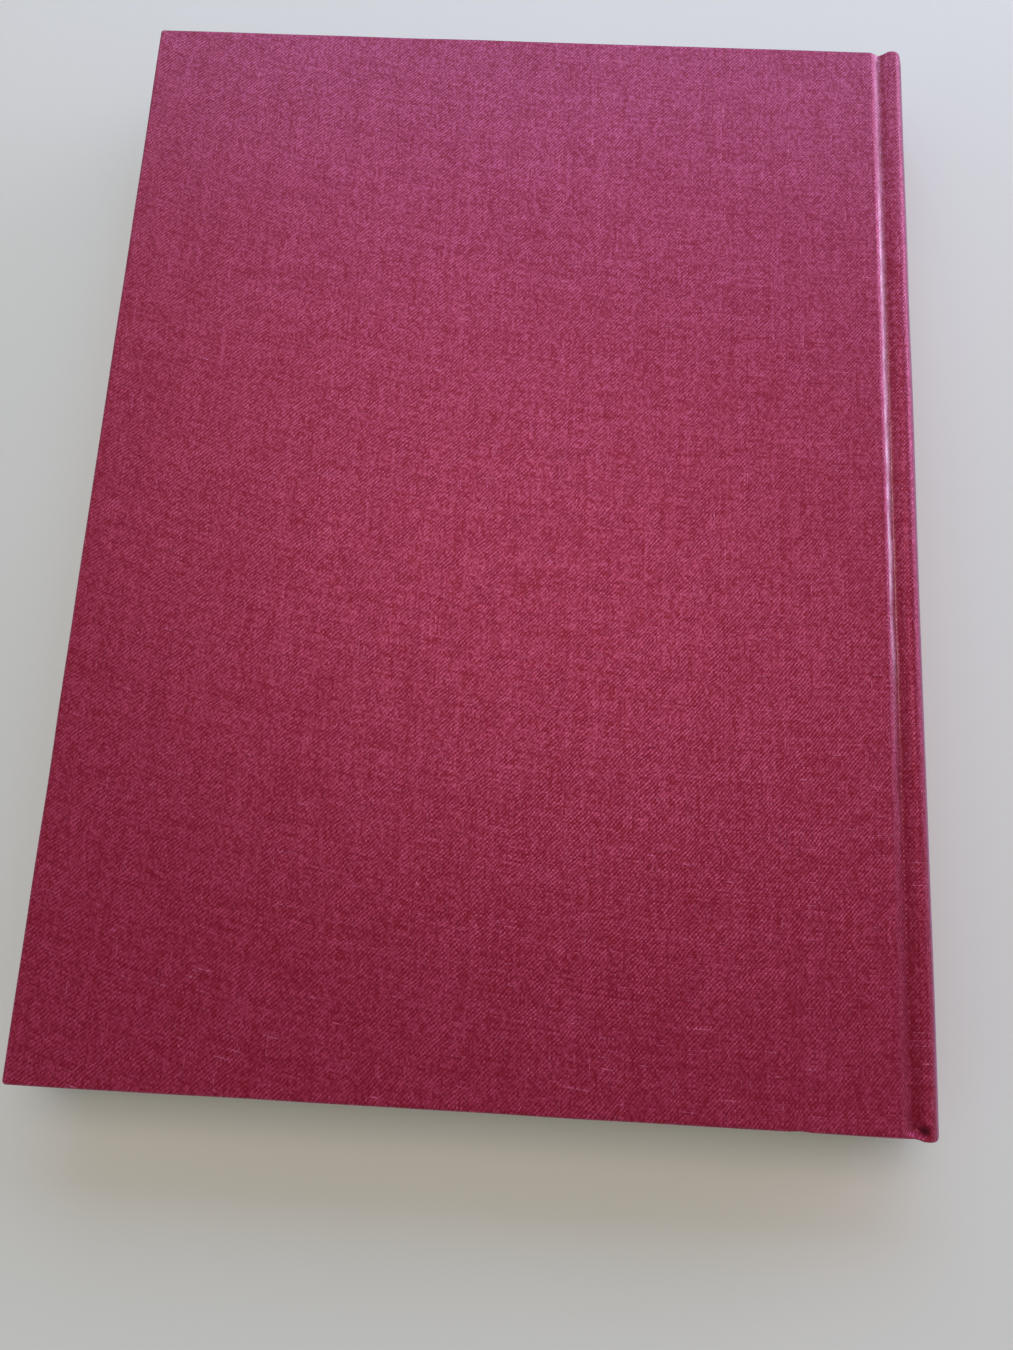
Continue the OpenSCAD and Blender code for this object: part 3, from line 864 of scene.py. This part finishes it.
def makeCaseSheet(name, stations, upsideDown, material):
    c = caseCloth
    rim, corner = coverEnd - c["wrapRadius"], coverEnd - c["cornerRadius"]
    fine = [corner - k * c["endStep"] for k in range(c["endSteps"])]
    inner = evenStops(c["endGap"] - fine[-1], fine[-1] - c["endGap"], c["faceStep"])
    stops = [-rim] + [-y for y in fine] + inner + fine[::-1] + [rim]
    sheet = dict(points=[], uv=[], faces=[])
    index = clothFace(sheet, stations, stops)
    foldTurnIns(sheet, clothRim(sheet, stations, stops, index))
    flip = -1 if upsideDown else 1
    places = [(x, y, midZ + flip * h) for x, y, h in sheet["points"]]
    obj = meshPiece(name, places, sheet["faces"], sheet["uv"], material=material)
    turnOutward(obj, (0, 0, midZ))
    thicken(obj, clothThick)
    return obj


def makeCase():
    c = caseCloth
    material = bookClothMaterial()
    upper = caseStations()
    around = upper[-1]["s"]
    seam = max(i for i, station in enumerate(upper) if station["p"][0] < c["seamX"])
    under = [mirrorStation(station, around) for station in reversed(upper[seam:-1])]
    back = makeCaseSheet("back_case_cloth", upper + under, False, material)
    front = makeCaseSheet("front_case_cloth", upper[:seam + 1], True, material)
    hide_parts("back_cloth", "spine_cloth")
    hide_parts("front_cloth")
    for obj, cover, z in ((back, "back_cover", boardHigh.z), (front, "front_cover", midZ * 2 - boardHigh.z)):
        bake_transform(obj)


# The leaves: a trimmed block, rounded and backed, with the gatherings a little uneven

textBlock = dict(
    gathering=1.35 * mm,
    leafLine=0.34 * mm,
    cutShare=0.12,  # of a leaf's line, left to the cut beside it
    slip=0.07 * mm,
    sectionSlip=0.12 * mm,
    slipSeed=41,
    flatStep=0.07,  # as a share of the width
    backSteps=12,
    alongSteps=28,
    foreHollow=2.6 * mm,
    shoulderRadius=1.5 * mm,
    shoulderX=0.9 * mm,
    backRadius=18.1 * mm,
)


# Half thickness of the leaves at a place along X, and where the back lies at a height
def leavesSection():
    b = textBlock
    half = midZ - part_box("front_flyleaf")[1].z
    tipH = leavesHigh.z - midZ - b["shoulderRadius"]
    tipReach = b["backRadius"] - b["shoulderRadius"]
    tipAngle = math.asin(tipH / tipReach)
    tip = spineCentre + polar(tipReach, tipAngle)
    fold = np.array([boardEdge + b["shoulderX"], half])
    along = tangentTo(fold, tip, b["shoulderRadius"])
    touch = fold + along * (along @ (tip - fold))

    def halfAt(x):
        if x <= fold[0]:
            return half
        if x <= touch[0]:
            return half + (x - fold[0]) * along[1] / along[0]
        reach = min(b["shoulderRadius"], abs(x - tip[0]))
        return tip[1] + math.sqrt(b["shoulderRadius"] ** 2 - reach ** 2)

    def backAt(h):
        turn = spineCentre + polar(b["backRadius"], tipAngle)
        if abs(h) <= turn[1]:
            return spineCentre[0] + math.sqrt(b["backRadius"] ** 2 - h ** 2)
        rise = min(b["shoulderRadius"], abs(h) - tip[1])
        return tip[0] + math.sqrt(b["shoulderRadius"] ** 2 - rise ** 2)

    return dict(half=half, tipX=tip[0], tipAngle=tipAngle, halfAt=halfAt, backAt=backAt)


# Across the leaves' thickness: (share of the half thickness, slip), two rows for each leaf's line
def leafRows(half):
    b = textBlock
    draw = random.Random(b["slipSeed"])
    count = round(2 * half / b["leafLine"])
    cuts = [-1 + 2 * i / count for i in range(count + 1)]
    slips = [draw.random() * b["slip"] for _ in range(count)]
    sectionCount = round(2 * half / b["gathering"])
    sectionSlips = [draw.random() * b["sectionSlip"] for _ in range(sectionCount + 1)]
    rows = []
    for i, slip in enumerate(slips):
        section = sectionSlips[min(sectionCount, int(sectionCount * i / count))]
        low, high = cuts[i], cuts[i + 1]
        rows.append((low + (high - low) * b["cutShare"], slip + section))
        rows.append((high - (high - low) * b["cutShare"], slip + section))
    return [(-1.0, rows[0][1]), *rows, (1.0, rows[-1][1])]


def makeLeaves():
    b = textBlock
    section = leavesSection()
    rows = leafRows(section["half"])
    flats = evenStops(0.0, (boardEdge - leavesLow.x) / (leavesHigh.x - leavesLow.x), b["flatStep"])
    backs = [flats[-1] + (1 - flats[-1]) * (i + 1) / b["backSteps"] for i in range(b["backSteps"])]
    acrossStops = flats + backs
    alongStops = evenStops(leavesLow.y, leavesHigh.y, (leavesHigh.y - leavesLow.y) / b["alongSteps"])
    ni, nj, nk = len(acrossStops) - 1, len(rows) - 1, len(alongStops) - 1
    points, uv, faces, index = [], [], [], {}

    def addPoint(i, j, k):
        share, slip = rows[j]
        low = leavesLow.x + b["foreHollow"] * (1 - share * share) + slip
        high = section["backAt"](share * (leavesHigh.z - midZ))
        x, y = low + (high - low) * acrossStops[i], alongStops[k]
        onEnd = k in (0, nk)
        if onEnd:
            y -= math.copysign(slip / 2, y)
        points.append((x, y, midZ + share * section["halfAt"](min(x, section["tipX"]))))
        uv.append((x if onEnd else y, share * section["half"]))
        return len(points) - 1

    def addFace(*corners):
        for corner in corners:
            if corner not in index:
                index[corner] = addPoint(*corner)
        faces.append([index[corner] for corner in corners])

    for i in range(ni):
        for j in range(nj):
            for k in (0, nk):
                addFace((i, j, k), (i + 1, j, k), (i + 1, j + 1, k), (i, j + 1, k))
    for k in range(nk):
        for j in range(nj):
            for i in (0, ni):
                addFace((i, j, k), (i, j, k + 1), (i, j + 1, k + 1), (i, j + 1, k))
        for i in range(ni):
            for j in (0, nj):
                addFace((i, j, k), (i + 1, j, k), (i + 1, j, k + 1), (i, j, k + 1))
    obj = meshPiece("leaves", points, faces, uv, "leaves", leavesMaterial())
    for face in obj.data.polygons:
        face.use_smooth = False
    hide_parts("text_block")
    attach(obj, "text_block")


# Endpapers: a free leaf that climbs the block's shoulder, and a pastedown that bends at the joint

endpaper = dict(
    thick=0.15 * mm,
    mullThick=0.2 * mm,
    step=4 * mm,
    shoulderEnd=102.6 * mm,
    shoulderStart=0.6 * mm,  # before the board's edge
    shoulderStep=0.35 * mm,
    shoulderEase=1.4 * mm,
    leafTrim=0.25 * mm,  # how far the free leaf stops short of the fore-edge
    leafFlatEnd=0.8 * mm,  # before the board's edge
    leafGap=0.02 * mm,
    pasteEase=0.8 * mm,  # over which the paper eases off the cloth and the mull under it
    pasteLap=0.1 * mm,
    pasteFine=(0.3 * mm, 4),  # finer steps beside such an edge, and how many
    pasteTrim=0.2 * mm,
    jointEase=1.6 * mm,
    jointGap=0.1 * mm,
    jointLift=0.05 * mm,
)


# Points from the fold up the shoulder, lifted off the leaves
def shoulderLine(lift):
    e = endpaper
    halfAt = leavesSection()["halfAt"]
    stops = evenStops(boardEdge - e["shoulderStart"], e["shoulderEnd"], e["shoulderStep"])
    return [(x, halfAt(x) + lift * pastBoard(x, (0, e["shoulderEase"]))) for x in stops]


# The rows follow each other along X, and the points of a row along Y
def sheetFromRows(name, rowsOfPoints, material):
    points = [p for row in rowsOfPoints for p in row]
    wide = len(rowsOfPoints[0])
    faces = []
    for i in range(len(rowsOfPoints) - 1):
        for j in range(wide - 1):
            a = i * wide + j
            faces.append([a, a + wide, a + wide + 1, a + 1])
    return meshPiece(name, points, faces, material=material)


def makeFlyleaf(side, material):
    e = endpaper
    up = 1 if side == "back" else -1
    low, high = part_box(f"{side}_flyleaf")
    leafTop = max(abs(low.z - midZ), abs(high.z - midZ))
    ys = evenStops(low.y, high.y, e["step"])
    line = [(x, leafTop) for x in evenStops(low.x + e["leafTrim"], boardEdge - e["leafFlatEnd"], e["step"])]
    line += [(x, h + e["thick"]) for x, h in shoulderLine(e["mullThick"] + e["leafGap"])]
    rows = [[(x, y, midZ + up * h) for y in ys] for x, h in line]
    obj = sheetFromRows(f"{side}_free_leaf", rows, material)
    turnOutward(obj, (0, 0, midZ))
    thicken(obj, e["thick"])
    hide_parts(f"{side}_flyleaf")
    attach(obj, "text_block")


# How far the pastedown's seen side lies below the board's face, over the cloth, the mull or neither
def pasteRelief(x, y):
    e = endpaper
    ease, lap = e["pasteEase"], e["pasteLap"]
    clothX, clothY = foreX + caseCloth["turnIn"], coverEnd - caseCloth["turnIn"]
    overFore = 1 - float(smoothstep(clothX - lap, clothX + ease, x))
    overEnd = float(smoothstep(clothY - ease, clothY + lap, abs(y)))
    cloth = max(overFore, overEnd) * (boardLow.z - midZ - turnInH)
    mull = min(float(smoothstep(mullLow.x - ease, mullLow.x + lap, x)),
               1 - float(smoothstep(mullHigh.y - lap, mullHigh.y + ease, abs(y)))) * e["mullThick"]
    return max(cloth, mull) + e["thick"]


# Even stops, with finer ones beside each mark
def pasteStops(low, high, marks):
    fine, count = endpaper["pasteFine"]
    stops = set(evenStops(low, high, endpaper["step"]))
    for mark in marks:
        stops |= {mark + k * fine for k in range(-count, count + 1)}
    return sorted(s for s in stops if low <= s <= high)


def makePastedown(side, material):
    e = endpaper
    up = 1 if side == "back" else -1
    boardH = boardLow.z - midZ
    clothY = coverEnd - caseCloth["turnIn"]
    ys = pasteStops(pasteLow.y, pasteHigh.y, [-clothY, clothY])
    xs = pasteStops(pasteLow.x, pasteHigh.x - e["pasteTrim"], [foreX + caseCloth["turnIn"], mullLow.x])
    rows = [[(x, y, midZ + up * (boardH - pasteRelief(x, y))) for y in ys] for x in xs]
    # In the joint the paper follows the back of the cloth, and ends on the shoulder.
    startH = turnInH - e["thick"]
    for x, h in shoulderLine(e["mullThick"] + e["thick"] + e["jointGap"]):
        if x > boardEdge:
            share = pastBoard(x, (0, e["jointEase"]))
            rows.append([(x, y, midZ + up * (startH + (h + e["jointLift"] - startH) * share)) for y in ys])
    obj = sheetFromRows(f"{side}_pastedown_leaf", rows, material)
    turnOutward(obj, (0, 0, midZ + up * 100 * mm))  # its seen side looks at the leaves
    thicken(obj, e["thick"])
    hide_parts(f"{side}_pastedown")
    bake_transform(obj)


# Head and tail bands: silk wound over a cord, on a tape glued to the back

endBand = dict(
    bead=2.0 * mm,
    threads=44,
    ribDepth=0.14 * mm,
    stepsPerThread=6,
    around=18,
    closedEnd=0.25,  # the bead's width at its very end
    closingSteps=5,
    tapeThick=0.2 * mm,
    tapeSteps=16,
)


# The bead's points go round the cord at each step along it
def bandBead(beadY, sign, halfAngle):
    b = endBand
    radius = textBlock["backRadius"] + (b["tapeThick"] - b["bead"]) / 2
    count = b["threads"] * b["stepsPerThread"]
    points, faces = [], []
    for i in range(count + 1):
        angle = halfAngle * (1 - 2 * i / count)
        thread = i / count * b["threads"] * math.pi
        rib = b["bead"] / 2 - b["ribDepth"] * (1 - abs(math.sin(thread)))
        r = rib * min(1.0, b["closedEnd"] + min(i, count - i) / b["closingSteps"])
        centre, outward = spineCentre + polar(radius, angle), polar(1, angle)
        for k in range(b["around"]):
            a = math.tau * k / b["around"]
            points.append((centre[0] + outward[0] * r * math.cos(a), beadY + r * math.sin(a) * sign,
                           midZ + centre[1] + outward[1] * r * math.cos(a)))

    def at(i, k):
        return i * b["around"] + k % b["around"]

    for i in range(count):
        for k in range(b["around"]):
            faces.append([at(i, k), at(i, k + 1), at(i + 1, k + 1), at(i + 1, k)])
    for i in (0, count):
        points.append(tuple(np.mean([points[at(i, k)] for k in range(b["around"])], axis=0)))
        faces += [[len(points) - 1, at(i, k), at(i, k + 1)] for k in range(b["around"])]
    return points, faces


# The tape, a thin curved plate on the back of the leaves
def bandTape(low, high, halfAngle):
    b = endBand
    points, faces = [], []
    for i in range(b["tapeSteps"] + 1):
        outward = polar(1, halfAngle * (1 - 2 * i / b["tapeSteps"]))
        for r in (textBlock["backRadius"], textBlock["backRadius"] + b["tapeThick"]):
            p = spineCentre + r * outward
            points += [(p[0], y, midZ + p[1]) for y in (low, high)]
    for i in range(b["tapeSteps"]):
        a, n = 4 * i, 4 * (i + 1)
        faces += [[a + p, a + q, n + q, n + p] for p, q in ((0, 1), (1, 3), (3, 2), (2, 0))]
    faces += [[a, a + 1, a + 3, a + 2] for a in (0, 4 * b["tapeSteps"])]
    return points, faces


def makeBand(node, sign, material):
    low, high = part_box(node)
    halfAngle = leavesSection()["tipAngle"]
    beadY = (high.y if sign > 0 else low.y) - sign * endBand["bead"] / 2
    points, faces = bandBead(beadY, sign, halfAngle)
    tapeEnds = (low.y, beadY) if sign > 0 else (beadY, high.y)
    tapePoints, tapeFaces = bandTape(*tapeEnds, halfAngle)
    faces += [[len(points) + i for i in face] for face in tapeFaces]
    obj = meshPiece(f"{node}_silk", points + tapePoints, faces, material=material)
    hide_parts(node)
    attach(obj, "text_block")


# Floor, light and camera

# Solved from the cover's four corners in the photo: mm and degrees
photoCamera = dict(lens=26.67, sensor=36.0, place=(9.513, -97.021, 268.798), turn=(12.422, 0.926, 3.064))
studio = dict(  # metres
    tableHalf=6.0,
    worldColour="#f3f4ee",
    worldStrength=(1.03, 1.1, 0.3),  # behind the viewer, beyond the head, and overhead
    worldRise=0.9,  # how steep a look already meets the overhead strength
    worldTurn=(-0.9, 0.1),  # from behind the viewer to beyond the head
    overhead=dict(place=(0.0, 0.45, 1.5), size=(1.0, 0.7), power=8.0, colour="#ffe9e0"),
    window=dict(place=(1.07, 0.67, 0.29), size=(1.0, 0.4), power=10.0, colour="#ded6ff"),
    headLight=dict(place=(0.05, 1.42, 0.95), size=(1.8, 0.7), power=19.0, colour="#b2d2ff"),
)


def makeCamera():
    data = bpy.data.cameras.new("photoCamera")
    data.lens = photoCamera["lens"]
    data.sensor_width = photoCamera["sensor"]
    data.clip_start = 5 * mm
    obj = bpy.data.objects.new("photoCamera", data)
    obj.location = [v * mm for v in photoCamera["place"]]
    obj.rotation_euler = [math.radians(a) for a in photoCamera["turn"]]
    scene.collection.objects.link(obj)
    scene.camera = obj


def makeLight(name, settings):
    data = bpy.data.lights.new(name, "AREA")
    data.shape = "RECTANGLE"
    data.size, data.size_y = settings["size"]
    data.energy = settings["power"]
    data.color = hexToLinear(settings["colour"])[:3]
    obj = bpy.data.objects.new(name, data)
    obj.location = settings["place"]
    obj.rotation_euler = (-Vector(settings["place"])).to_track_quat("-Z", "Y").to_euler()
    scene.collection.objects.link(obj)


def makeStudio():
    half = studio["tableHalf"]
    corners = [(-half, -half, 0), (half, -half, 0), (half, half, 0), (-half, half, 0)]
    lacquer = grainedMaterial("satinLacquer", tableLook)
    floor = meshPiece("table", corners, [[0, 1, 2, 3]], material=lacquer)
    turnOutward(floor, (0, 0, -1))
    for name in ("overhead", "window", "headLight"):
        makeLight(name, studio[name])
    world = bpy.data.worlds.new("studio")
    scene.world = world
    world.use_nodes = True
    tree = world.node_tree
    light = tree.nodes["Background"]
    light.inputs["Color"].default_value = hexToLinear(studio["worldColour"])
    # Brighter near the horizon than overhead, and brightest beyond the head
    way = addNode(tree, "SeparateXYZ", {0: addNode(tree, "TexCoord").outputs["Generated"]})
    low = addNode(tree, "MapRange", {"Value": way.outputs["Z"]},
                  {"From Min": 0.0, "From Max": studio["worldRise"], "To Min": 1.0, "To Max": 0.0})
    behind, ahead = studio["worldTurn"]
    far = addNode(tree, "MapRange", {"Value": way.outputs["Y"]}, {"From Min": behind, "From Max": ahead})
    near, beyond, above = studio["worldStrength"]
    sides = addNode(tree, "Math", {0: far}, {1: beyond - near, 2: near - above}, operation="MULTIPLY_ADD")
    strength = addNode(tree, "Math", {0: sides, 1: low}, {2: above}, operation="MULTIPLY_ADD")
    tree.links.new(strength.outputs[0], light.inputs["Strength"])


makeCamera()
print("camera placed")
makeStudio()
print("table and lights placed")
makeCase()
print("case cloth made")
makeLeaves()
print("leaves made")
paper = endpaperMaterial()
for side in ("back", "front"):
    makeFlyleaf(side, paper)
    makePastedown(side, paper)
print("endpapers made")
silk = grainedMaterial("woundSilk", silkLook)
makeBand("head_band", 1, silk)
makeBand("tail_band", -1, silk)
print("bands made")

# Pieces whose CAD form is right, and which only take their material
board = grainedMaterial("pressedGreyboard", greyboardLook)
gauze = gauzeMaterial()
kraft = grainedMaterial("machineGlazedKraft", kraftLook)
plainNodes = dict(back_board=board, front_board=board, spine_mull=gauze, back_mull=gauze, front_mull=gauze,
                  spine_lining=kraft, spine_inlay=kraft)
for node, material in plainNodes.items():
    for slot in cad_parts[node].material_slots:
        slot.material = material
print("boards, mull and linings finished")
